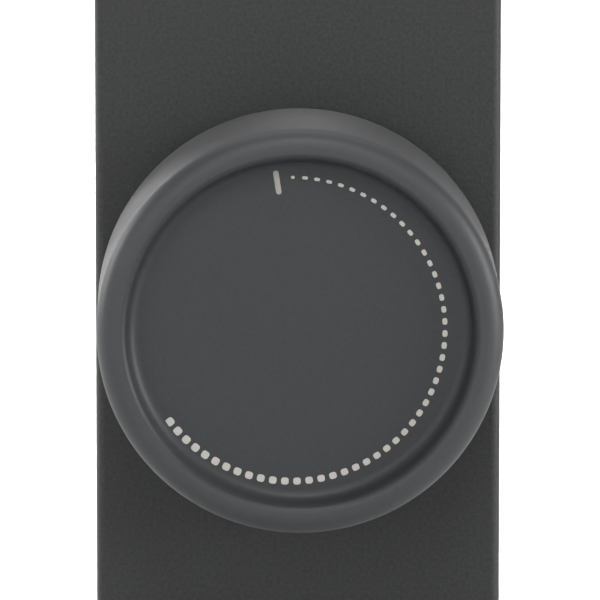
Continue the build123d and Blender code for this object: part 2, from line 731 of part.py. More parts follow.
def switch_contacts():
    """Two fixed contacts whose pins run on into the board."""
    contacts = []
    for place in contact_places():
        pin = bar_along_y(CONTACT_HEAD_DIAMETER / 2, (contact_front, contact_front + CONTACT_HEAD), place)
        contacts.append(pin + bar_along_y(CONTACT_DIAMETER / 2, (contact_front, board_back), place))
    return Compound(children=contacts)


def switch_spring():
    """The coil spring that lifts the plunger, its round wire drawn with a few flats."""
    length = SPRING_LENGTH - SPRING_WIRE - 2 * TOUCH_GAP
    path = Helix(pitch=length / SPRING_TURNS, height=length, radius=SPRING_DIAMETER / 2)
    section = Plane(origin=path @ 0, z_dir=path % 0) * RegularPolygon(SPRING_WIRE / 2, SPRING_WIRE_SIDES)
    start = bridge_back + SPRING_WIRE / 2 + TOUCH_GAP
    return Pos(0, start, 0) * Rot(-90, 0, 0) * sweep(section, path=path)


def lead_pair(place, half_spacing, upright=False):
    """Places of two leads about a middle, side by side or one above the other."""
    x, z = place
    if upright:
        return [(x, z - half_spacing), (x, z + half_spacing)]
    return [(x - half_spacing, z), (x + half_spacing, z)]


def large_capacitor_leads():
    """Where the electrolytic capacitor's leads pass through the board."""
    return lead_pair(large_capacitor_place, LARGE_CAPACITOR_LEAD_SPACING / 2)


def film_capacitor_leads():
    """Where the film capacitor's leads pass through the board."""
    return lead_pair(film_capacitor_place, FILM_CAPACITOR_LEAD_SPACING / 2, upright=True)


def choke_leads():
    """Where the ends of the choke's winding pass through the board."""
    angle = radians((360 - WINDING_ANGLE) / 2 + WINDING_LEAD_ANGLE)
    radius = winding_radius - WINDING_THICKNESS / 2
    return lead_pair((choke_place[0], choke_place[1] + radius * cos(angle)), radius * sin(angle))


def varistor_leads():
    """Where the varistor's leads pass through the board."""
    return lead_pair(varistor_place, VARISTOR_LEAD_SPACING / 2)


def fuse_leads():
    """Where the fuse's leads pass through the board."""
    return lead_pair(fuse_place, fuse_lead_x)


def transistor_leads(x):
    """Where a transistor's three leads pass through the board."""
    return [(x + i * TRANSISTOR_LEAD_SPACING, transistor_height) for i in (-1, 0, 1)]


def main_board():
    """The main circuit board, with a hole or slot for every lead."""
    through = (board_front, board_back)
    board = prism(frame_outline(board_half_width, board_half_height), through)
    leads = large_capacitor_leads() + film_capacitor_leads() + choke_leads() + varistor_leads() + fuse_leads()
    leads += transistor_leads(-transistor_x) + transistor_leads(transistor_x)
    for places, diameter in (
        (leads, LEAD_DIAMETER),
        (pot_pin_places(), POT_PIN_WIDTH),
        (contact_places(), CONTACT_DIAMETER),
    ):
        for place in places:
            board -= bar_along_y(diameter / 2 + HOLE_CLEARANCE, through, place)
    lug_slot = Rectangle(HEAT_SINK_LUG_WIDTH + 2 * HOLE_CLEARANCE, HEAT_SINK_THICKNESS + 2 * HOLE_CLEARANCE)
    for place in lead_pair((0, heat_sink_middle), heat_sink_lug_x):
        board -= prism(Pos(*place) * lug_slot, through)
    tail_slot = Rectangle(TAIL_WIDTH + 2 * HOLE_CLEARANCE, BAR_THICKNESS + 2 * HOLE_CLEARANCE)
    for x in terminal_places:
        board -= prism(Pos(x, bar_middle) * tail_slot, through)
    return board


def leads_through(places, y_range):
    """Straight leads between two limits, trimmed flush with the far side of the board."""
    leads = Part()
    for place in places:
        leads += bar_along_y(LEAD_DIAMETER / 2, y_range, place)
    return leads


def large_capacitor():
    """The electrolytic capacitor in front of the board: a can with a rolled end and a crimped groove."""
    base = board_front - END_GAP
    radius = LARGE_CAPACITOR_DIAMETER / 2
    can = bar_along_y(radius, (base - LARGE_CAPACITOR_LENGTH, base), large_capacitor_place)
    can = fillet(can.edges().group_by(Axis.Y)[0], LARGE_CAPACITOR_ROUND)
    groove = Pos(*large_capacitor_place) * (Circle(radius) - Circle(radius - CRIMP_DEPTH))
    crimp_back = base - CRIMP_SETBACK
    can -= prism(groove, (crimp_back - CRIMP_WIDTH, crimp_back))
    return can + leads_through(large_capacitor_leads(), (base - END_GAP, board_back))


def film_capacitor():
    """The film capacitor in front of the board."""
    base = board_front - END_GAP
    outline = RectangleRounded(film_capacitor_width, FILM_CAPACITOR_HEIGHT, FILM_CAPACITOR_ROUND)
    box = prism(Pos(*film_capacitor_place) * outline, (base - FILM_CAPACITOR_LENGTH, base))
    return box + leads_through(film_capacitor_leads(), (base - END_GAP, board_back))


def choke_core():
    """The ring core of the choke."""
    front = board_back + END_GAP + WINDING_THICKNESS
    ring = Circle(CHOKE_DIAMETER / 2) - Circle(CHOKE_BORE / 2)
    return prism(Pos(*choke_place) * ring, (front, front + CHOKE_THICKNESS))


def choke_winding():
    """The copper winding round the core, as one sleeve with a gap between its ends, and its two leads."""
    front = board_back + END_GAP
    back = front + CHOKE_THICKNESS + 2 * WINDING_THICKNESS
    start = (360 - WINDING_ANGLE) / 2
    outline = ring_sector(CHOKE_BORE / 2 - WINDING_THICKNESS, winding_radius, start, WINDING_ANGLE)
    sleeve = prism(Pos(*choke_place) * outline, (front, back))
    space = Circle(CHOKE_DIAMETER / 2 + RUNNING) - Circle(CHOKE_BORE / 2 - RUNNING)
    core_y = (front + WINDING_THICKNESS - RUNNING, back - WINDING_THICKNESS + RUNNING)
    sleeve -= prism(Pos(*choke_place) * space, core_y)
    return sleeve + leads_through(choke_leads(), (board_front, front + WINDING_THICKNESS / 2))


def varistor():
    """The disc varistor, standing on edge behind the board."""
    middle = board_back + END_GAP + VARISTOR_DIAMETER / 2
    x, z = varistor_place
    half = VARISTOR_THICKNESS / 2
    disc = bar_along_z(VARISTOR_DIAMETER / 2, (z - half, z + half), (x, middle))
    return disc + leads_through(varistor_leads(), (board_front, middle))


def fuse():
    """The wire-ended fuse behind the board."""
    x, z = fuse_place
    middle = board_back + END_GAP + FUSE_DIAMETER / 2
    barrel = extrude(Plane.YZ * Circle(FUSE_DIAMETER / 2), FUSE_LENGTH / 2, both=True)
    body = Pos(x, middle, z) * barrel
    for side in (-1, 1):
        lead_x = x + side * fuse_lead_x
        barrel_x = x + side * (FUSE_LENGTH / 2 - END_GAP)
        points = [(lead_x, board_front, z), (lead_x, middle, z), (barrel_x, middle, z)]
        body += bent_wire(points, LEAD_DIAMETER)
    return body


def transistor(x):
    """A power transistor with three leads, its back against the heat sink."""
    front = board_back + TRANSISTOR_STANDOFF
    outline = Pos(x, transistor_height) * Rectangle(TRANSISTOR_WIDTH, TRANSISTOR_THICKNESS)
    body = prism(outline, (front, front + TRANSISTOR_LENGTH))
    return body + leads_through(transistor_leads(x), (board_front, front + END_GAP))


def heat_sink():
    """The aluminium plate over the transistors, with two lugs through the board."""
    front = board_back + HEAT_SINK_STANDOFF
    across = (-heat_sink_half_width, heat_sink_half_width)
    plate = slab(across, (front, front + HEAT_SINK_LENGTH), (heat_sink_low, heat_sink_high))
    lug = Rectangle(HEAT_SINK_LUG_WIDTH, HEAT_SINK_THICKNESS)
    for place in lead_pair((0, heat_sink_middle), heat_sink_lug_x):
        plate += prism(Pos(*place) * lug, (board_front, front))
    return plate


def controller_chip():
    """The controller on the front of the board, with its two rows of legs."""
    base = board_front - END_GAP
    x, z = chip_place
    chip = prism(Pos(x, z) * Rectangle(CHIP_LENGTH, CHIP_WIDTH), (base - CHIP_THICKNESS, base))
    leg = Rectangle(CHIP_LEG_WIDTH, 2 * chip_half_height)
    for offset in row_of(CHIP_LEG_COUNT, CHIP_LEG_PITCH):
        chip += prism(Pos(x + offset, z) * leg, (board_front - CHIP_LEG_HEIGHT, board_front))
    return chip


def block_lug():
    """An upright lug inside the housing's right wall, with a nub that snaps into a window in that wall."""
    root = block_high - BLOCK_TOP_WALL / 2
    outline = Polyline(
        (snap_arm_inner, root),
        (snap_arm_outer, root),
        (snap_arm_outer, lug_nub_low),
        (snap_arm_outer + SNAP_NUB_REACH, lug_nub_low),
        (snap_arm_outer, lug_high),
        (snap_arm_inner, lug_high),
        close=True,
    )
    return prism(make_face(outline), (lug_front, lug_back))


def terminal_block():
    """The moulding round the terminals, with a funnelled wire entry and a screwdriver hole for each."""
    across = (-housing_half_width, housing_half_width)
    block = slab(across, (board_back, housing_rear), (-housing_half_height, block_high))
    block = fillet(block.edges().filter_by(Axis.Y).group_by(Axis.Z)[0], HOUSING_ROUND)
    rear_edges = block.faces().sort_by(Axis.Y)[-1].edges().sort_by(Axis.Z)
    block = fillet(rear_edges[:-1], REAR_EDGE_ROUND)
    block += mirrored_pair(block_lug())
    bore = WIRE_SPACE / 2
    funnel = Cone(bore, bore + FUNNEL_DEPTH, FUNNEL_DEPTH, align=(Align.CENTER, Align.CENTER, Align.MAX))
    for x in terminal_places:
        pocket_x = (x - pocket_width / 2, x + pocket_width / 2)
        block -= slab(pocket_x, (board_back, block_rear_inside), (-inner_half_height, pocket_high))
        block -= bar_along_y(bore, (block_rear_inside, housing_rear), (x, wire_height))
        block -= Pos(x, housing_rear, wire_height) * Rot(-90, 0, 0) * funnel
        floor = (-housing_half_height, -inner_half_height)
        block -= bar_along_z(ACCESS_HOLE_DIAMETER / 2, floor, (x, screw_y))
    return block


def terminal_screw(x):
    """The clamping screw of a terminal, with a plain shank and a slotted head."""
    screw = bar_along_z(SCREW_HEAD_DIAMETER / 2, (head_low, head_high), (x, screw_y))
    half_slot = SCREW_SLOT_WIDTH / 2
    half_head = SCREW_HEAD_DIAMETER / 2
    slot_y = (screw_y - half_head, screw_y + half_head)
    screw -= slab((x - half_slot, x + half_slot), slot_y, (head_low, head_low + SCREW_SLOT_DEPTH))
    return screw + bar_along_z(SCREW_SHANK_DIAMETER / 2, (head_high, bar_low - TOUCH_GAP), (x, screw_y))


def terminal_cage(x):
    """The rising cage of a terminal, threaded on the screw, with a window for the bar and the wire."""
    y_range = (cage_front, cage_back)
    cage = slab((x - cage_half_width, x + cage_half_width), y_range, (cage_low, cage_high))
    window = (x - cage_inner_half_width, x + cage_inner_half_width)
    cage -= slab(window, y_range, (cage_nut_top, cage_floor))
    bore = SCREW_SHANK_DIAMETER / 2 + KEY_CLEARANCE
    return cage - bar_along_z(bore, (cage_low, cage_nut_top), (x, screw_y))


def terminal_bar(x):
    """The fixed brass bar that the wire is clamped against, with a tail soldered in the board."""
    z_range = (bar_low, bar_high)
    bar_y = (board_back, block_rear_inside - END_GAP)
    bar = slab((x - bar_half_width, x + bar_half_width), bar_y, z_range)
    return bar + slab((x - TAIL_WIDTH / 2, x + TAIL_WIDTH / 2), (board_front, board_back), z_range)


def pieces():
    """Every piece by its name."""
    made = {
        "front_cover": front_cover(),
        "front_frame": front_frame(),
        "rear_housing": rear_housing(),
        "terminal_block": terminal_block(),
        "knob": knob(),
        "knob_clip": knob_clip(),
        "control_shaft": control_shaft(),
        "bushing": bushing(),
        "bushing_washer": bushing_washer(),
        "bushing_nut": bushing_nut(),
        "pot_case": pot_case(),
        "pot_rotor": pot_rotor(),
        "wiper": wiper(),
        "track_wafer": track_wafer(),
        "pot_pins": pot_pins(),
        "switch_case": switch_case(),
        "switch_plunger": switch_plunger(),
        "switch_bridge": switch_bridge(),
        "switch_contacts": switch_contacts(),
        "switch_spring": switch_spring(),
        "main_board": main_board(),
        "large_capacitor": large_capacitor(),
        "film_capacitor": film_capacitor(),
        "choke_core": choke_core(),
        "choke_winding": choke_winding(),
        "varistor": varistor(),
        "fuse": fuse(),
        "transistor_left": transistor(-transistor_x),
        "transistor_right": transistor(transistor_x),
        "heat_sink": heat_sink(),
        "controller_chip": controller_chip(),
    }
    for number, x in enumerate(terminal_places, 1):
        made[f"terminal_screw_{number}"] = terminal_screw(x)
        made[f"terminal_cage_{number}"] = terminal_cage(x)
        made[f"terminal_bar_{number}"] = terminal_bar(x)
    return made


os.makedirs("parts", exist_ok=True)
for name, piece in pieces().items():
    export_step(piece, f"parts/{name}.step")
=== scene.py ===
"""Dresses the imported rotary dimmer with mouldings, a printed scale, finishes and a small studio."""

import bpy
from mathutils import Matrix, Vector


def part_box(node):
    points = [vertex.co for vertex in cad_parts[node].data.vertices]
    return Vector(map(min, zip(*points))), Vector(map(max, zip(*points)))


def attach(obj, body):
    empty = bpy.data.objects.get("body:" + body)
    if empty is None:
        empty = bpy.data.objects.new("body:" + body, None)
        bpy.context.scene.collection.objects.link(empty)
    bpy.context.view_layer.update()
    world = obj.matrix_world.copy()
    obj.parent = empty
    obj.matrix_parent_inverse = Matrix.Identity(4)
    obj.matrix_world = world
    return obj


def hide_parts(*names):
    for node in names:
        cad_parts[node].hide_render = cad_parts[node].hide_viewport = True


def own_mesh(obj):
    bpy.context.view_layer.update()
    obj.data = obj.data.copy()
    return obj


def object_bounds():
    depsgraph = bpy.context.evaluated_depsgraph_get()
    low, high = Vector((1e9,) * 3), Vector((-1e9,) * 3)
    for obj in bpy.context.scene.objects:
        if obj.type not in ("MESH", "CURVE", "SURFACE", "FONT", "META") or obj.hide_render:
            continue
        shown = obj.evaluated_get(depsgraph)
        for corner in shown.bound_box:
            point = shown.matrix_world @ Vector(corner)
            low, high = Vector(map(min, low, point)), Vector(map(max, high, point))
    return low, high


bl_info = {
    "name": "Rotary dimmer",
    "version": (1, 0, 0),
    "blender": (4, 5, 0),
    "location": "3D View > Sidebar > Dimmer",
    "description": "Makes the mouldings, printed scale, finishes and studio of a rotary dimmer",
    "category": "Object",
}

from math import atan2, cos, pi, radians, sin, tan

import bmesh
import bpy
from bpy.props import FloatProperty, FloatVectorProperty, IntProperty, PointerProperty
from bpy.types import Operator, Panel, PropertyGroup
from mathutils import Matrix, Vector

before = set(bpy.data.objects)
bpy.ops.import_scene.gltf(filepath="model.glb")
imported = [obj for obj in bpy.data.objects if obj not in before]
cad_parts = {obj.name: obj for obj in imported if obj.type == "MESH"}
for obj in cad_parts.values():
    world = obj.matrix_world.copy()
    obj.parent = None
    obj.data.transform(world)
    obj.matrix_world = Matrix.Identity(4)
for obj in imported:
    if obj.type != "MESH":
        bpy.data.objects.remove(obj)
cad_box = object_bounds()

MM = 0.001
# The picture's side in pixels, and the camera's sensor in millimetres
IMAGE_SIZE = 600
SENSOR_WIDTH = 36.0
# Points closer than this are one point, in a solid piece and in a film of ink
SEAM = 0.001 * MM
INK_SEAM = 0.0001 * MM
# How far a rib runs into the walls that it joins
OVERLAP = 0.1 * MM
# Edges that turn by less than these are shaded smooth, on turned pieces and on mouldings
TURNED_SMOOTH = radians(40)
MOULDED_SMOOTH = radians(35)
# Triangles that turn by less than the first are one flat face, and edges from the second on are eased
FLAT_BELOW = radians(0.5)
EASED_FROM = radians(40)
SCREW_EDGE = 0.06 * MM
# Steps round the knob, round each half of its hub, and round each end of the line mark
KNOB_STEPS = 192
HUB_STEPS = 40
LINE_END_STEPS = 12
# Places of the knob's finishes among its materials
RIM = 0
FLOOR = 1
SKIRT = 2
# How much of the rim's outer round has the rim's finish
RIM_SHARE = 0.9
# Round of a dot's corners as a share of its sides
DOT_ROUND = 0.34
DOT_ROUND_STEPS = 4
# The range that noise seldom leaves
NOISE_LOW = 0.3
NOISE_HIGH = 0.7
# Radians that a wave texture runs through over one unit of its scale
WAVE_RATE = 20
CHOKE_TURNS = 44
# Metres from the floor's middle to its sides, and from the knob's rim to the lamps
FLOOR_REACH = 3
LAMP_DISTANCE = 0.75
METAL = {"Metallic": 1.0}

knob_low, knob_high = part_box("knob")


def linear(hex_colour):
    """An sRGB hex colour as linear red, green and blue."""
    channels = [int(hex_colour[i : i + 2], 16) / 255 for i in (1, 3, 5)]
    return tuple(c / 12.92 if c <= 0.04045 else ((c + 0.055) / 1.055) ** 2.4 for c in channels)


def number(name, description, default, **more):
    """A plain number property."""
    return FloatProperty(name=name, description=description, default=default, **more)


def length(name, description, millimetres):
    """A length property with its default in millimetres."""
    return number(name, description, millimetres * MM, unit="LENGTH", precision=5)


def angle(name, description, degrees):
    """An angle property with its default in degrees."""
    return number(name, description, radians(degrees), unit="ROTATION")


def colour(name, description, hex_colour):
    """A colour property with its default as an sRGB hex value."""
    return FloatVectorProperty(
        name=name, description=description, default=linear(hex_colour), subtype="COLOR", min=0, max=1
    )


class DIMMER_PG_knob(PropertyGroup):
    """The knob's turned shape and its plastic."""

    rim_diameter: length("Rim diameter", "Across the front edge of the knob", 21.6)
    taper: length("Taper", "How much the skirt widens on each side towards the plate", 0.15)
    rim_width: length("Rim width", "From the recess to the outer edge", 1.48)
    recess_depth: length("Recess depth", "From the rim down to the printed floor", 1.25)
    wall_draft: angle("Wall draft", "How far the recess wall leans", 14)
    lip_round: length("Lip round", "Radius where the rim turns into the recess", 0.42)
    floor_round: length("Floor round", "Radius between the recess wall and its floor", 0.6)
    inner_round: length("Inner round", "Radius between the skirt and the underside of the floor", 0.6)
    outer_round: length("Outer round", "Radius of the rim's outer edge", 1.0)
    base_round: length("Base round", "Radius of the skirt's rear edge", 0.3)
    skirt_wall: length("Skirt wall", "Thickness of the skirt", 1.5)
    floor_thickness: length("Floor thickness", "Thickness behind the recess", 1.95)
    hub_diameter: length("Hub diameter", "Outside of the split hub", 9.0)
    hub_bore: length("Hub bore", "Inside of the split hub", 6.06)
    hub_inset: length("Hub inset", "From the skirt's rear edge to the hub's end", 0.6)
    hub_slot: length("Hub slot", "Width of the slot that lets the hub grip", 0.8)
    rib_count: IntProperty(name="Ribs", description="Ribs between hub and skirt", default=6, min=2, max=24)
    rib_thickness: length("Rib thickness", "Thickness of each rib", 0.9)
    rib_depth: length("Rib depth", "How far the ribs run behind the floor", 2.9)
    turn: angle("Rest turn", "Where the line mark stands at rest, clockwise from the top", -8.5)
    plastic: colour("Plastic", "Colour of the knob's rim", "#2d2f32")
    floor_plastic: colour("Floor plastic", "Colour of the matte floor of the recess", "#303234")
    skirt_plastic: colour("Skirt plastic", "Colour of the skirt", "#292a2b")


class DIMMER_PG_scale(PropertyGroup):
    """The print on the floor of the recess."""

    dot_count: IntProperty(name="Dots", description="Dots in the ring", default=52, min=2, max=200)
    first_angle: angle("First dot", "Place of the first dot, clockwise from the top", 0.4)
    step_angle: angle("Step", "From one dot to the next", 4.555)
    ring_radius: length("Ring radius", "From the ring's centre to the dots", 8.14)
    ring_shift: length("Ring shift", "How far the ring's centre stands left of the knob's axis", 0.45)
    ring_rise: length("Ring rise", "How far the ring's centre stands above the knob's axis", 0.06)
    first_length: length("First length", "First dot along the ring", 0.3)
    last_length: length("Last length", "Last dot along the ring", 0.43)
    first_width: length("First width", "First dot across the ring", 0.16)
    last_width: length("Last width", "Last dot across the ring", 0.44)
    start_share: number("Start dot", "Length of the very first dot as a share", 0.62)
    line_length: length("Line length", "Length of the line mark", 1.29)
    line_width: length("Line width", "Width of the line mark", 0.29)
    line_radius: length("Line radius", "From the knob's axis to the middle of the line mark", 8.02)
    line_angle: angle("Line angle", "Place of the line mark, clockwise from the top", -8.7)
    thickness: length("Ink thickness", "Height of the print above the floor", 0.012)
    ink: colour("Ink", "Colour of the printed dots", "#aaa7a1")
    line_ink: colour("Line ink", "Colour of the printed line mark", "#8f8c87")


class DIMMER_PG_casing(PropertyGroup):
    """The cover, frame, housing and terminal block."""

    edge: length("Eased edge", "Bevel on the edges of the inner mouldings", 0.08)
    cover_plastic: colour("Cover plastic", "Colour of the front cover", "#2c2d2e")
    frame_plastic: colour("Frame plastic", "Colour of the frame", "#333436")
    housing_plastic: colour("Housing plastic", "Colour of the housing", "#37383a")
    block_plastic: colour("Block plastic", "Colour of the terminal block", "#4a4b4d")


class DIMMER_PG_stage(PropertyGroup):
    """The camera and the room."""

    azimuth: angle("Azimuth", "Camera to the right of straight on", -0.6)
    elevation: angle("Elevation", "Camera above straight on", 7.5)
    distance: number("Distance", "From the camera to the knob's rim", 0.3377, unit="LENGTH")
    lens: number("Lens", "Focal length", 383.0, unit="CAMERA")
    right_of_middle: number("Right", "Rim's centre right of the middle, in pixels", 0.5)
    below_middle: number("Below", "Rim's centre below the middle, in pixels", 34.0)
    floor: colour("Floor", "Colour of the floor", "#c4c3c0")
    wash_behind: number("Wash aim", "Where the floor lamp aims, behind the part", 0.15, unit="LENGTH")
    wash_distance: number("Wash distance", "From the rim to the floor lamp", 0.65, unit="LENGTH")
    wash_elevation: angle("Wash elevation", "Floor lamp above the horizon", 20)
    wash_width: number("Wash width", "Width of the floor lamp", 0.26, unit="LENGTH")
    wash_height: number("Wash height", "Height of the floor lamp", 0.2, unit="LENGTH")
    wash_spread: angle("Wash spread", "Width of the floor lamp's beam", 90)
    wash_power: number("Wash power", "Floor lamp in watts", 2.8, min=0)
    surround: number("Surround", "Brightness of the white room", 0.15, min=0)


def add_node(tree, kind, inputs=None, **settings):
    """Adds a node, gives it its settings, and sets or links its inputs."""
    node = tree.nodes.new(kind)
    for name, value in settings.items():
        setattr(node, name, value)
    for name, value in (inputs or {}).items():
        if isinstance(value, bpy.types.NodeSocket):
            tree.links.new(value, node.inputs[name])
        else:
            node.inputs[name].default_value = value
    return node


def empty_material(name, shade):
    """A named material with no nodes yet, its tree, and the place of each point on the piece."""
    material = bpy.data.materials.new(name)
    material.use_nodes = True
    material.diffuse_color = (*shade, 1)
    tree = material.node_tree
    tree.nodes.clear()
    return material, tree, add_node(tree, "ShaderNodeTexCoord").outputs["Object"]


def mixed_tone(tree, share, shade, tint):
    """A colour that runs from a darker to a lighter tone of a shade with a share."""
    dark, light = [(*[min(1.0, c * (1 + side * tint)) for c in shade], 1) for side in (-1, 1)]
    return add_node(tree, "ShaderNodeMix", {0: share, 6: dark, 7: light}, data_type="RGBA").outputs[2]


def add_surface(tree, inputs):
    """Ends a material in the standard shader with the given inputs."""
    shader = add_node(tree, "ShaderNodeBsdfPrincipled", inputs)
    add_node(tree, "ShaderNodeOutputMaterial", {"Surface": shader.outputs["BSDF"]})


def finish(
    name,
    shade,
    *,
    roughness,
    grain,
    depth,
    patch=4.0,
    tint=0.05,
    gloss=0.05,
    stretch=(1, 1, 1),
    painted_grain_light=0.0,
    **more,
):
    """A surface whose relief, tone and gloss vary with noise. Grain, depth and patch are in millimetres.

    Grain that is too fine for the picture is drawn as coarse as it needs to show. Fine painted highlights
    on the raised grains and painted shade in the pits follow the relief. More inputs of the shader go by
    their own names.
    """
    material, tree, place = empty_material(name, shade)
    run = add_node(tree, "ShaderNodeMapping", {"Vector": place, "Scale": stretch}).outputs["Vector"]
    fine = add_node(
        tree,
        "ShaderNodeTexNoise",
        {"Vector": run, "Scale": 1 / (grain * MM), "Detail": 3.0, "Roughness": 0.6},
    ).outputs["Fac"]
    broad = add_node(
        tree, "ShaderNodeTexNoise", {"Vector": run, "Scale": 1 / (patch * MM), "Detail": 2.0}
    ).outputs["Fac"]
    tone = mixed_tone(tree, broad, shade, tint)
    # Painted highlight on the raised grains and painted shade in the pits: the tone follows the relief's
    # height
    if painted_grain_light:
        share = add_node(
            tree, "ShaderNodeMapRange", {"Value": fine, "To Min": 1 - painted_grain_light, "To Max": 1 + painted_grain_light}
        ).outputs["Result"]
        tone = add_node(
            tree, "ShaderNodeVectorMath", {0: tone, "Scale": share}, operation="SCALE"
        ).outputs[0]
    polish = add_node(
        tree,
        "ShaderNodeMapRange",
        {
            "Value": broad,
            "From Min": NOISE_LOW,
            "From Max": NOISE_HIGH,
            "To Min": roughness - gloss,
            "To Max": roughness + gloss,
        },
    ).outputs["Result"]
    relief = add_node(
        tree, "ShaderNodeBump", {"Height": fine, "Strength": 1.0, "Distance": depth * MM}
    ).outputs["Normal"]
    add_surface(tree, {"Base Color": tone, "Roughness": polish, "Normal": relief, **more})
    return material


def turned_metal(name, shade, roughness, ring, tint):
    """A metal turned on a lathe: fine rings along the knob's axis, a ring width apart in millimetres."""
    material, tree, place = empty_material(name, shade)
    rings = add_node(
        tree,
        "ShaderNodeTexWave",
        {"Vector": place, "Scale": 2 * pi / (WAVE_RATE * ring * MM), "Distortion": 1.2, "Detail": 2.0},
        bands_direction="Y",
    ).outputs["Fac"]
    groove = ring * MM * 0.1
    relief = add_node(
        tree, "ShaderNodeBump", {"Height": rings, "Strength": 0.6, "Distance": groove}
    ).outputs["Normal"]
    # Painted shade in the grooves and painted highlight on the crests: the tone follows the rings' relief
    tone = mixed_tone(tree, rings, shade, tint)
    add_surface(tree, {"Base Color": tone, "Roughness": roughness, "Normal": relief, **METAL})
    return material


def wound_wire(name, shade, roughness, node_name, turns, tint):
    """Enamelled wire laid in turns round a ring core whose middle is the node's own."""
    material, tree, place = empty_material(name, shade)
    low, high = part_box(node_name)
    middle = (low + high) / 2
    local = add_node(tree, "ShaderNodeMapping", {"Vector": place, "Location": -middle}).outputs["Vector"]
    parts = add_node(tree, "ShaderNodeSeparateXYZ", {"Vector": local}).outputs
    turned = add_node(
        tree, "ShaderNodeMath", {0: parts["X"], 1: parts["Z"]}, operation="ARCTAN2"
    ).outputs[0]
    laid = add_node(tree, "ShaderNodeMath", {0: turned, 1: float(turns)}, operation="MULTIPLY").outputs[0]
    ridge = add_node(tree, "ShaderNodeMath", {0: laid}, operation="SINE").outputs[0]
    relief = add_node(
        tree, "ShaderNodeBump", {"Height": ridge, "Strength": 0.8, "Distance": 0.1 * MM}
    ).outputs["Normal"]
    # Painted shade in the grooves between turns and painted highlight on their crests: the tone follows the
    # relief
    tone = mixed_tone(tree, ridge, shade, tint)
    add_surface(
        tree,
        {"Base Color": tone, "Roughness": roughness, "Coat Weight": 0.6, "Normal": relief, **METAL},
    )
    return material


def dress(material, *node_names):
    """Gives carried-over nodes a finish."""
    for name in node_names:
        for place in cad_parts[name].material_slots:
            place.material = material


def add_piece(name, mesh, body, slot, *node_names):
    """Links a finished mesh as a piece that rides on a body and stands for the named nodes."""
    piece = bpy.data.objects.new(name, mesh)
    bpy.context.scene.collection.objects.link(piece)
    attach(piece, body)
    if node_names:
        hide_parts(*node_names)
    return piece


def node_shape(node_name):
    """An editable copy of a node's mesh."""
    shape = bmesh.new()
    shape.from_mesh(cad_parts[node_name].data)
    return shape


def mesh_of(name, shape, material, smooth_below):
    """A mesh of a shape with one finish, shaded smooth where its edges turn by less than an angle."""
    for face in shape.faces:
        face.smooth = True
        face.material_index = 0
    mesh = bpy.data.meshes.new(name)
    shape.to_mesh(mesh)
    shape.free()
    mesh.materials.append(material)
    mesh.set_sharp_from_angle(angle=smooth_below)
    return mesh


def smooth_mesh(name, shape, material):
    """Closes a shape's seams, points its faces outwards and makes it a smooth mesh with one finish."""
    bmesh.ops.remove_doubles(shape, verts=shape.verts, dist=SEAM)
    bmesh.ops.recalc_face_normals(shape, faces=shape.faces)
    return mesh_of(name, shape, material, TURNED_SMOOTH)


def softened_piece(node_name, body, slot, edge, material):
    """A merged copy of a node with its triangles joined into flat faces and its hard edges eased."""
    shape = node_shape(node_name)
    bmesh.ops.remove_doubles(shape, verts=shape.verts, dist=SEAM)
    bmesh.ops.dissolve_limit(shape, angle_limit=FLAT_BELOW, verts=shape.verts, edges=shape.edges)
    mesh = mesh_of(node_name + "_skin", shape, material, MOULDED_SMOOTH)
    piece = add_piece(node_name + "_skin", mesh, body, slot, node_name)
    if edge > 0:
        bevel = piece.modifiers.new("eased_edges", "BEVEL")
        bevel.width = edge
        bevel.segments = 2
        bevel.limit_method = "ANGLE"
        bevel.angle_limit = EASED_FROM
        bevel.use_clamp_overlap = True
    normals = piece.modifiers.new("flat_faces", "WEIGHTED_NORMAL")
    normals.keep_sharp = True
    return piece


def rounded_outline(corners, steps=10, guard=0.08 * MM):
    """Points along corners of (radius, y, round), with each corner rounded.

    Long straight runs get a point near each end, so that smooth shading keeps them straight.
    """
    points = []
    for index, (radius, y, rounding) in enumerate(corners):
        here = Vector((radius, y))
        if index in (0, len(corners) - 1):
            points.append(here)
            continue
        before = (Vector(corners[index - 1][:2]) - here).normalized()
        after = (Vector(corners[index + 1][:2]) - here).normalized()
        half = before.angle(after) / 2
        middle = here + (before + after).normalized() * rounding / sin(half)
        start = here + before * rounding / tan(half) - middle
        end = here + after * rounding / tan(half) - middle
        first = atan2(start.y, start.x)
        sweep = (atan2(end.y, end.x) - first + pi) % (2 * pi) - pi
        for step in range(steps + 1):
            turn = first + sweep * step / steps
            points.append(middle + Vector((cos(turn), sin(turn))) * rounding)
    guarded = points[:1]
    for near, far in zip(points, points[1:]):
        if (far - near).length > 4 * guard:
            inset = (far - near).normalized() * guard
            guarded += [near + inset, far - inset]
        guarded.append(far)
    return guarded


def turn_outline(shape, outline, steps, start=0.0, sweep=2 * pi):
    """Turns an outline of (radius, y) points about the knob's axis, from an angle and through a sweep."""
    facing = Matrix.Rotation(start, 3, "Y")
    chain = [shape.verts.new(facing @ Vector((radius, y, 0))) for radius, y in outline]
    links = [shape.edges.new(pair) for pair in zip(chain, chain[1:])]
    bmesh.ops.spin(shape, geom=chain + links, cent=(0, 0, 0), axis=(0, 1, 0), angle=sweep, steps=steps)


def add_block(shape, low, high, turn):
    """A box between two corners, turned about the knob's axis."""
    low = Vector(low)
    high = Vector(high)
    place = Matrix.Rotation(turn, 4, "Y") @ Matrix.Translation((low + high) / 2)
    bmesh.ops.create_cube(shape, size=1, matrix=place @ Matrix.Diagonal((*(high - low), 1)))


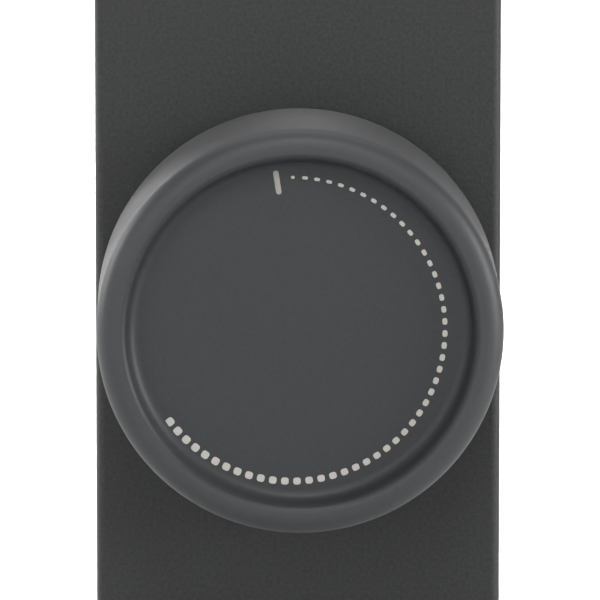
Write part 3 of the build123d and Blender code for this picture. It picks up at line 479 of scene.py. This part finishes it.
class DIMMER_OT_knob(Operator):
    """Turns the knob with its rounded rim, printed recess, split hub and ribs"""

    bl_idname = "dimmer.knob"
    bl_label = "Knob"

    def execute(self, context):
        size = context.scene.dimmer_knob
        front = knob_low.y
        back = knob_high.y
        rim = size.rim_diameter / 2
        base = rim + size.taper
        recess = rim - size.rim_width
        recess_floor = front + size.recess_depth
        recess_foot = recess - size.recess_depth * tan(size.wall_draft)
        underside = recess_floor + size.floor_thickness
        inside = base - size.skirt_wall
        shape = bmesh.new()
        outline = rounded_outline([
            (0, recess_floor, 0),
            (recess_foot, recess_floor, size.floor_round),
            (recess, front, size.lip_round),
            (rim, front, size.outer_round),
            (base, back, size.base_round),
            (inside, back, size.base_round / 2),
            (inside - size.taper, underside, size.inner_round),
            (0, underside, 0),
        ])
        turn_outline(shape, outline, KNOB_STEPS)
        bore = size.hub_bore / 2
        hub = size.hub_diameter / 2
        hub_end = back - size.hub_inset
        slot_half = size.hub_slot / size.hub_diameter
        section = [(bore, underside), (hub, underside), (hub, hub_end), (bore, hub_end), (bore, underside)]
        for side in (0, pi):
            turn_outline(shape, section, HUB_STEPS, side + slot_half + size.turn, pi - 2 * slot_half)
        for index in range(size.rib_count):
            turn = size.turn + 2 * pi * (index + 0.5) / size.rib_count
            add_block(
                shape,
                (hub - OVERLAP, underside - OVERLAP, -size.rib_thickness / 2),
                (inside, underside + size.rib_depth, size.rib_thickness / 2),
                turn,
            )
        bmesh.ops.holes_fill(shape, edges=shape.edges)
        # PC and ABS moulded in a finely etched tool: a smooth, faintly bluish rim, with faint painted
        # highlights on its raised grains and painted shade in the pits. The etching is really about a third
        # as wide as it is drawn here and on the rest of the knob and the cover.
        rim_skin = finish(
            "etched_pc_abs_rim", size.plastic, roughness=0.52, grain=0.18, depth=0.008,
            patch=6.0, tint=0.04, gloss=0.03, painted_grain_light=0.18,
            **{"Sheen Weight": 0.08},
        )
        # The same plastic from a spark-eroded face of the tool: an even, duller floor under the print, with
        # faint painted highlights on its raised grains and painted shade in the pits
        floor_skin = finish(
            "eroded_pc_abs_floor", size.floor_plastic, roughness=0.48, grain=0.2, depth=0.008,
            patch=6.0, tint=0.04, gloss=0.03, painted_grain_light=0.18,
            **{"Specular IOR Level": 0.3},
        )
        # The same plastic from a coarser side of the tool: its grain catches light that grazes it, and
        # strong painted highlights on its raised grains and painted shade in its pits speckle it
        skirt_skin = finish(
            "etched_pc_abs_skirt", size.skirt_plastic, roughness=0.58, grain=0.2, depth=0.035,
            patch=6.0, tint=0.06, gloss=0.03, painted_grain_light=1.0,
            **{"Sheen Weight": 0.1, "Specular IOR Level": 0.3},
        )
        mesh = smooth_mesh("knob_shell", shape, rim_skin)
        mesh.materials.append(floor_skin)
        mesh.materials.append(skirt_skin)
        skirt_start = front + RIM_SHARE * size.outer_round
        lip_middle = recess + size.lip_round / 2
        for face in mesh.polygons:
            reach = Vector((face.center.x, face.center.z)).length
            behind = face.center.y
            if behind > skirt_start and (reach > recess or behind > underside - OVERLAP):
                face.material_index = SKIRT
            elif reach < lip_middle:
                face.material_index = FLOOR
            else:
                face.material_index = RIM
        add_piece("knob_shell", mesh, "knob", "knob_plastic", "knob")
        return {"FINISHED"}


def dot_ring_tree():
    """Geometry nodes that lay rounded dots round a ring, each a little larger than the one before."""
    tree = bpy.data.node_groups.new("dot_ring", "GeometryNodeTree")
    sockets = tree.interface
    sockets.new_socket(name="Geometry", in_out="OUTPUT", socket_type="NodeSocketGeometry")
    inputs = {
        "NodeSocketInt": ("Dots",),
        "NodeSocketFloat": (
            "First Angle",
            "Step Angle",
            "Ring Radius",
            "First Length",
            "Last Length",
            "First Width",
            "Last Width",
            "Start Share",
            "Thickness",
        ),
        "NodeSocketVector": ("Centre",),
        "NodeSocketMaterial": ("Ink",),
    }
    for kind, names in inputs.items():
        for name in names:
            sockets.new_socket(name=name, in_out="INPUT", socket_type=kind)
    given = add_node(tree, "NodeGroupInput").outputs
    index = add_node(tree, "GeometryNodeInputIndex").outputs[0]
    # Each dot's place on the ring
    turn = add_node(
        tree,
        "ShaderNodeMath",
        {0: index, 1: given["Step Angle"], 2: given["First Angle"]},
        operation="MULTIPLY_ADD",
    ).outputs[0]
    across = add_node(tree, "ShaderNodeMath", {0: turn}, operation="SINE").outputs[0]
    up = add_node(tree, "ShaderNodeMath", {0: turn}, operation="COSINE").outputs[0]
    outward = add_node(tree, "ShaderNodeCombineXYZ", {"X": across, "Z": up}).outputs[0]
    arm = add_node(
        tree, "ShaderNodeVectorMath", {0: outward, "Scale": given["Ring Radius"]}, operation="SCALE"
    ).outputs[0]
    place = add_node(
        tree, "ShaderNodeVectorMath", {0: arm, 1: given["Centre"]}, operation="ADD"
    ).outputs[0]
    points = add_node(
        tree, "GeometryNodePoints", {"Count": given["Dots"], "Position": place}
    ).outputs[0]
    # Its length and width, which grow along the ring from a shorter first dot
    last = add_node(tree, "ShaderNodeMath", {0: given["Dots"], 1: 1.0}, operation="SUBTRACT").outputs[0]
    share = add_node(tree, "ShaderNodeMath", {0: index, 1: last}, operation="DIVIDE").outputs[0]
    grown_length, width = [
        add_node(
            tree, "ShaderNodeMix", {0: share, 2: given["First " + side], 3: given["Last " + side]}
        ).outputs[0]
        for side in ("Length", "Width")
    ]
    later = add_node(tree, "ShaderNodeMath", {0: index, 1: 0.5}, operation="GREATER_THAN").outputs[0]
    kept = add_node(
        tree, "ShaderNodeMath", {0: later, 1: given["Start Share"]}, operation="MAXIMUM"
    ).outputs[0]
    dot_length = add_node(
        tree, "ShaderNodeMath", {0: grown_length, 1: kept}, operation="MULTIPLY"
    ).outputs[0]
    # One dot with sides of one metre, closed at the back
    square = add_node(
        tree, "GeometryNodeCurvePrimitiveQuadrilateral", {"Width": 1.0, "Height": 1.0}
    ).outputs[0]
    eased = add_node(
        tree,
        "GeometryNodeFilletCurve",
        {"Curve": square, "Radius": DOT_ROUND, "Count": DOT_ROUND_STEPS},
        mode="POLY",
    ).outputs[0]
    face = add_node(tree, "GeometryNodeFillCurve", {"Curve": eased}, mode="NGONS").outputs[0]
    raised = add_node(
        tree, "GeometryNodeExtrudeMesh", {"Mesh": face, "Offset Scale": given["Thickness"]}
    ).outputs[0]
    under = add_node(tree, "GeometryNodeFlipFaces", {"Mesh": face}).outputs[0]
    whole = add_node(tree, "GeometryNodeJoinGeometry")
    tree.links.new(raised, whole.inputs[0])
    tree.links.new(under, whole.inputs[0])
    dot = add_node(
        tree, "GeometryNodeMergeByDistance", {"Geometry": whole.outputs[0], "Distance": INK_SEAM}
    ).outputs[0]
    facing = add_node(tree, "ShaderNodeCombineXYZ", {"X": pi / 2, "Y": turn}).outputs[0]
    dot_size = add_node(tree, "ShaderNodeCombineXYZ", {"X": dot_length, "Y": width, "Z": 1.0}).outputs[0]
    laid = add_node(
        tree,
        "GeometryNodeInstanceOnPoints",
        {"Points": points, "Instance": dot, "Rotation": facing, "Scale": dot_size},
    ).outputs[0]
    real = add_node(tree, "GeometryNodeRealizeInstances", {"Geometry": laid}).outputs[0]
    inked = add_node(
        tree, "GeometryNodeSetMaterial", {"Geometry": real, "Material": given["Ink"]}
    ).outputs[0]
    add_node(tree, "NodeGroupOutput", {"Geometry": inked})
    return tree


def mesh_from_tree(name, tree, values):
    """Runs a node tree on an empty object with the named inputs, and returns the result as a plain mesh."""
    holder = bpy.data.objects.new(name + "_holder", bpy.data.meshes.new(name + "_holder"))
    bpy.context.scene.collection.objects.link(holder)
    modifier = holder.modifiers.new(name, "NODES")
    modifier.node_group = tree
    for socket in tree.interface.items_tree:
        if socket.in_out == "INPUT":
            modifier[socket.identifier] = values[socket.name]
    made = holder.evaluated_get(bpy.context.evaluated_depsgraph_get())
    mesh = bpy.data.meshes.new_from_object(made)
    bpy.data.objects.remove(holder)
    if not mesh.polygons:
        raise RuntimeError("the node tree for " + name + " made no faces")
    mesh.name = name
    return mesh


class DIMMER_OT_scale(Operator):
    """Prints the ring of growing dots and the line mark in the recess"""

    bl_idname = "dimmer.scale"
    bl_label = "Printed scale"

    def execute(self, context):
        size = context.scene.dimmer_scale
        floor = knob_low.y + context.scene.dimmer_knob.recess_depth
        # Pad-printed ink: a warm light grey film, thin enough to take up the grain below it
        ink = finish(
            "pad_printed_ink", size.ink, roughness=0.6, grain=0.1, depth=0.002,
            patch=0.25, tint=0.06, gloss=0.04,
        )
        dots = mesh_from_tree(
            "scale_dots",
            dot_ring_tree(),
            {
                "Dots": size.dot_count,
                "First Angle": size.first_angle,
                "Step Angle": size.step_angle,
                "Ring Radius": size.ring_radius,
                "First Length": size.first_length,
                "Last Length": size.last_length,
                "First Width": size.first_width,
                "Last Width": size.last_width,
                "Start Share": size.start_share,
                "Thickness": size.thickness,
                "Centre": (-size.ring_shift, floor, size.ring_rise),
                "Ink": ink,
            },
        )
        add_piece("scale_dots", dots, "knob", "knob_plastic")
        shape = bmesh.new()
        half = size.line_width / 2
        run = size.line_length / 2 - half
        outline = []
        for end, start in ((1, 0), (-1, pi)):
            for step in range(LINE_END_STEPS + 1):
                turn = start + pi * step / LINE_END_STEPS
                outline.append((half * cos(turn), floor, end * run + half * sin(turn)))
        face = shape.faces.new([shape.verts.new(point) for point in outline])
        top = bmesh.ops.extrude_face_region(shape, geom=[face])["geom"]
        raised = [item for item in top if isinstance(item, bmesh.types.BMVert)]
        bmesh.ops.translate(shape, verts=raised, vec=(0, -size.thickness, 0))
        place = Matrix.Rotation(size.line_angle, 4, "Y") @ Matrix.Translation((0, 0, size.line_radius))
        bmesh.ops.transform(shape, matrix=place, verts=shape.verts)
        # The same ink laid thinner, so that the dark plastic shows through unevenly
        thin_ink = finish(
            "pad_printed_thin_ink", size.line_ink, roughness=0.6, grain=0.1, depth=0.002,
            patch=0.2, tint=0.25, gloss=0.04,
        )
        add_piece("scale_line", smooth_mesh("scale_line", shape, thin_ink), "knob", "knob_plastic")
        return {"FINISHED"}


class DIMMER_OT_casing(Operator):
    """Softens the cover, frame, housing and terminal block and gives them their plastics"""

    bl_idname = "dimmer.casing"
    bl_label = "Casing"

    def execute(self, context):
        look = context.scene.dimmer_casing
        # PC and ABS moulded in an etched tool: coarser than the knob's rim, and duller, with painted
        # highlights on its raised grains and painted shade in the pits
        cover = finish(
            "etched_pc_abs_cover", look.cover_plastic, roughness=0.48, grain=0.2, depth=0.024,
            patch=7.0, tint=0.04, gloss=0.03, painted_grain_light=0.65,
            **{"Sheen Weight": 0.05, "Specular IOR Level": 0.3},
        )
        # Glass-filled polyamide: faint flow lines along the moulding and a dull, slightly blotchy skin
        frame_skin = finish(
            "glass_filled_polyamide_frame", look.frame_plastic, roughness=0.55, grain=0.18, depth=0.006,
            patch=3.0, tint=0.1, stretch=(1, 1, 0.4),
        )
        housing_skin = finish(
            "glass_filled_polyamide_housing", look.housing_plastic, roughness=0.52, grain=0.2, depth=0.007,
            patch=3.5, tint=0.1, stretch=(1, 0.4, 1),
        )
        # Moulded PBT: a little smoother and paler than the housing
        block_skin = finish(
            "moulded_pbt_block", look.block_plastic, roughness=0.45, grain=0.16, depth=0.005,
            patch=3.0, tint=0.07,
        )
        softened_piece("front_cover", "base", "cover_plastic", 0, cover)
        softened_piece("front_frame", "base", "frame_plastic", look.edge, frame_skin)
        softened_piece("rear_housing", "base", "housing_plastic", look.edge, housing_skin)
        softened_piece("terminal_block", "base", "block_plastic", look.edge, block_skin)
        return {"FINISHED"}


class DIMMER_OT_terminals(Operator):
    """Finishes the terminals' screws, cages and bars, and the other plated and brass pieces"""

    bl_idname = "dimmer.terminals"
    bl_label = "Terminals"

    def execute(self, context):
        # Zinc-plated steel: bluish grey, barrel-plated, so the gloss is patchy at the size of a crystal
        plated = finish(
            "zinc_plated_steel", linear("#b4b8bd"), roughness=0.34, grain=0.12, depth=0.002,
            patch=0.8, tint=0.08, gloss=0.08, **METAL,
        )
        # Stamped brass strip: rolling lines run along the bars into the wall
        brass = finish(
            "stamped_brass", linear("#c9a44f"), roughness=0.3, grain=0.08, depth=0.001,
            patch=1.5, tint=0.07, stretch=(1, 0.1, 1), **METAL,
        )
        for terminal in (1, 2, 3):
            softened_piece(
                f"terminal_screw_{terminal}", f"screw_{terminal}", "plated_steel", SCREW_EDGE, plated
            )
            dress(plated, f"terminal_cage_{terminal}")
            dress(brass, f"terminal_bar_{terminal}")
        dress(plated, "bushing_washer", "bushing_nut")
        dress(brass, "wiper", "pot_pins", "switch_bridge", "switch_contacts")
        return {"FINISHED"}


class DIMMER_OT_mechanism(Operator):
    """Finishes the potentiometer, switch, return spring, shaft and bushing"""

    bl_idname = "dimmer.mechanism"
    bl_label = "Mechanism"

    def execute(self, context):
        # Moulded PBT: smooth and black, with a soft gloss
        black = finish(
            "moulded_pbt_black", linear("#232427"), roughness=0.4, grain=0.2, depth=0.003,
            patch=2.0, tint=0.08,
        )
        dress(black, "pot_case", "pot_rotor", "switch_case", "switch_plunger")
        # Tempered spring steel: straw-grey, with a fine drawn skin
        steel = finish(
            "tempered_spring_steel", linear("#8b8a86"), roughness=0.3, grain=0.06, depth=0.001,
            patch=0.6, tint=0.1, **METAL,
        )
        dress(steel, "knob_clip")
        # The real return spring shortens by the push, towards its seat at the back of the switch; here it
        # is a smooth copy with a mesh of its own
        coil = smooth_mesh("return_spring", node_shape("switch_spring"), steel)
        spring = add_piece("return_spring", coil, "base", "spring_steel", "switch_spring")
        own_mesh(spring)
        # Turned aluminium: rings from the lathe run round the shaft, with painted shade in their grooves
        # and painted highlights on their crests
        turned = turned_metal("turned_aluminium", linear("#c6c8ca"), roughness=0.28, ring=0.25, tint=0.06)
        dress(turned, "control_shaft")
        # Die-cast zinc: dull grey with the fine pits of the casting
        zinc = finish(
            "die_cast_zinc", linear("#9c9d9e"), roughness=0.45, grain=0.25, depth=0.01,
            patch=1.2, tint=0.1, **METAL,
        )
        dress(zinc, "bushing")
        return {"FINISHED"}


class DIMMER_OT_electronics(Operator):
    """Finishes the board and the components behind the frame"""

    bl_idname = "dimmer.electronics"
    bl_label = "Electronics"

    def execute(self, context):
        # Glass laminate under green solder mask: the cloth shows as a faint unevenness
        laminate = finish(
            "glass_laminate_green", linear("#27523a"), roughness=0.35, grain=0.3, depth=0.004,
            patch=1.0, tint=0.15,
        )
        dress(laminate, "main_board", "track_wafer")
        # Shrunk PVC sleeve: glossy, with slow ripples
        sleeve = finish(
            "shrunk_pvc_sleeve", linear("#20242c"), roughness=0.25, grain=1.2, depth=0.02,
            patch=2.5, tint=0.1,
        )
        dress(sleeve, "large_capacitor")
        # Flame-retardant PBT box filled with resin: yellow, even and half matte
        box = finish(
            "yellow_pbt_box", linear("#b8963c"), roughness=0.42, grain=0.2, depth=0.004,
            patch=2.0, tint=0.08,
        )
        dress(box, "film_capacitor")
        # Painted iron powder: pressed grains under a thin coat
        core = finish(
            "painted_iron_powder", linear("#3f4a45"), roughness=0.55, grain=0.15, depth=0.01,
            patch=1.0, tint=0.12,
        )
        dress(core, "choke_core")
        # Enamelled copper: glossy reddish turns side by side, with painted shade between the turns and
        # painted highlights on their crests
        copper = wound_wire(
            "enamelled_copper", linear("#a8592e"), roughness=0.32, node_name="choke_core",
            turns=CHOKE_TURNS, tint=0.3,
        )
        dress(copper, "choke_winding")
        # Dipped epoxy: a thick glossy coat with slow runs
        dipped = finish(
            "dipped_blue_epoxy", linear("#2b4c80"), roughness=0.28, grain=1.0, depth=0.03,
            patch=1.5, tint=0.1,
        )
        dress(dipped, "varistor")
        # Glazed ceramic tube: pale, smooth and glossy
        glazed = finish(
            "glazed_ceramic", linear("#d8d2c4"), roughness=0.2, grain=0.4, depth=0.004,
            patch=1.0, tint=0.05,
        )
        dress(glazed, "fuse")
        # Rolled aluminium sheet: streaks along the rolling direction
        rolled = finish(
            "rolled_aluminium", linear("#c3c5c8"), roughness=0.34, grain=0.1, depth=0.002,
            patch=2.0, tint=0.05, stretch=(1, 0.08, 1), **METAL,
        )
        dress(rolled, "heat_sink")
        # Transfer-moulded epoxy: black, matte and speckled with filler
        epoxy = finish(
            "moulded_black_epoxy", linear("#1e1f21"), roughness=0.6, grain=0.12, depth=0.006,
            patch=0.5, tint=0.2,
        )
        dress(epoxy, "transistor_left", "transistor_right", "controller_chip")
        return {"FINISHED"}


def aimed(place, target):
    """A matrix that stands at a place and looks at a target with its top upwards."""
    turn = (target - place).to_track_quat("-Z", "Y").to_matrix().to_4x4()
    return Matrix.Translation(place) @ turn


def around(target, azimuth, elevation, distance):
    """A place at a distance from a target, to the right of straight on and above it."""
    toward = Vector((sin(azimuth) * cos(elevation), -cos(azimuth) * cos(elevation), sin(elevation)))
    return target + toward * distance


# Name, azimuth and elevation in degrees, width and height in metres, power in watts
LAMPS = (
    ("right_softbox", 75, 11, 0.28, 0.28, 4.4),
    ("right_front_panel", 30, 16, 0.28, 0.28, 0.6),
    ("left_front_panel", -14, 14, 0.28, 0.28, 1.1),
    ("left_side_panel", -50, 14, 0.28, 0.28, 0.9),
    ("top_panel", 0, 50, 0.28, 0.28, 2.8),
    ("left_back_panel", -108, 14, 0.28, 0.28, 3.2),
    ("overhead_panel", 180, 66, 0.6, 0.4, 1.5),
    ("left_rim_panel", -150, 18, 0.28, 0.28, 1.1),
    ("right_rim_panel", 150, 18, 0.28, 0.28, 0.18),
)


def add_lamp(name, place, width, height, power, spread=pi):
    """A soft rectangular lamp that the camera doesn't see."""
    lamp = bpy.data.lights.new(name, "AREA")
    lamp.shape = "RECTANGLE"
    lamp.size = width
    lamp.size_y = height
    lamp.energy = power
    lamp.spread = spread
    stand = bpy.data.objects.new(name, lamp)
    stand.matrix_world = place
    stand.visible_camera = False
    bpy.context.scene.collection.objects.link(stand)


class DIMMER_OT_stage(Operator):
    """Sets the camera, the pale floor and the soft lights"""

    bl_idname = "dimmer.stage"
    bl_label = "Stage"

    def execute(self, context):
        look = context.scene.dimmer_stage
        scene = context.scene
        rim = Vector((0, knob_low.y, 0))
        pixels_per_metre = look.lens / SENSOR_WIDTH * IMAGE_SIZE / look.distance
        place = around(rim, look.azimuth, look.elevation, look.distance)
        camera = bpy.data.objects.new("camera", bpy.data.cameras.new("camera"))
        scene.collection.objects.link(camera)
        facing = aimed(place, rim)
        shift = Vector((-look.right_of_middle, look.below_middle, 0)) / pixels_per_metre
        camera.matrix_world = Matrix.Translation(facing.to_3x3() @ shift) @ facing
        camera.data.sensor_width = SENSOR_WIDTH
        camera.data.lens = look.lens
        camera.data.clip_start = 0.01
        camera.data.clip_end = 20
        scene.camera = camera

        shape = bmesh.new()
        bmesh.ops.create_grid(shape, x_segments=2, y_segments=2, size=FLOOR_REACH)
        bmesh.ops.translate(shape, verts=shape.verts, vec=(0, 0, cad_box[0].z))
        # Matte paper: a pale sheet with a faint cloudy tone
        paper = finish(
            "matte_paper", look.floor, roughness=0.9, grain=0.5, depth=0.005,
            patch=60.0, tint=0.01, gloss=0.02,
        )
        floor = bpy.data.objects.new("floor", smooth_mesh("floor", shape, paper))
        scene.collection.objects.link(floor)

        for name, azimuth, elevation, width, height, power in LAMPS:
            place = around(rim, radians(azimuth), radians(elevation), LAMP_DISTANCE)
            add_lamp(name, aimed(place, rim), width, height, power)
        # A lamp from behind whitens the floor that the camera sees, and the plate keeps it off the knob
        place = around(rim, pi, look.wash_elevation, look.wash_distance)
        target = Vector((0, look.wash_behind, cad_box[0].z))
        add_lamp(
            "floor_wash", aimed(place, target),
            look.wash_width, look.wash_height, look.wash_power, look.wash_spread,
        )

        world = bpy.data.worlds.new("white_room")
        world.use_nodes = True
        world.node_tree.nodes.clear()
        room = add_node(
            world.node_tree, "ShaderNodeBackground", {"Color": (1, 1, 1, 1), "Strength": look.surround}
        )
        add_node(world.node_tree, "ShaderNodeOutputWorld", {"Surface": room.outputs[0]})
        scene.world = world
        scene.view_settings.view_transform = "Standard"
        scene.view_settings.look = "None"
        return {"FINISHED"}


OPERATORS = (
    DIMMER_OT_knob,
    DIMMER_OT_scale,
    DIMMER_OT_casing,
    DIMMER_OT_terminals,
    DIMMER_OT_mechanism,
    DIMMER_OT_electronics,
    DIMMER_OT_stage,
)
SETTINGS = {
    "dimmer_knob": DIMMER_PG_knob,
    "dimmer_scale": DIMMER_PG_scale,
    "dimmer_casing": DIMMER_PG_casing,
    "dimmer_stage": DIMMER_PG_stage,
}


class DIMMER_PT_panel(Panel):
    """Lists the settings and the steps that make the dimmer"""

    bl_idname = "DIMMER_PT_panel"
    bl_label = "Rotary dimmer"
    bl_space_type = "VIEW_3D"
    bl_region_type = "UI"
    bl_category = "Dimmer"

    def draw(self, context):
        for group in SETTINGS:
            box = self.layout.box()
            for name in SETTINGS[group].__annotations__:
                box.prop(getattr(context.scene, group), name)
        for operator in OPERATORS:
            self.layout.operator(operator.bl_idname)


def register():
    """Adds the classes and the scene's settings."""
    for group in SETTINGS.values():
        bpy.utils.register_class(group)
    for operator in OPERATORS:
        bpy.utils.register_class(operator)
    bpy.utils.register_class(DIMMER_PT_panel)
    for name, group in SETTINGS.items():
        setattr(bpy.types.Scene, name, PointerProperty(type=group))


def unregister():
    """Takes the settings and the classes away again."""
    for name in SETTINGS:
        delattr(bpy.types.Scene, name)
    bpy.utils.unregister_class(DIMMER_PT_panel)
    for operator in reversed(OPERATORS):
        bpy.utils.unregister_class(operator)
    for group in reversed(list(SETTINGS.values())):
        bpy.utils.unregister_class(group)


def main():
    """Makes every piece and the stage."""
    register()
    bpy.ops.dimmer.knob()
    bpy.ops.dimmer.scale()
    bpy.ops.dimmer.casing()
    bpy.ops.dimmer.terminals()
    bpy.ops.dimmer.mechanism()
    bpy.ops.dimmer.electronics()
    bpy.ops.dimmer.stage()


if __name__ == "__main__":
    main()
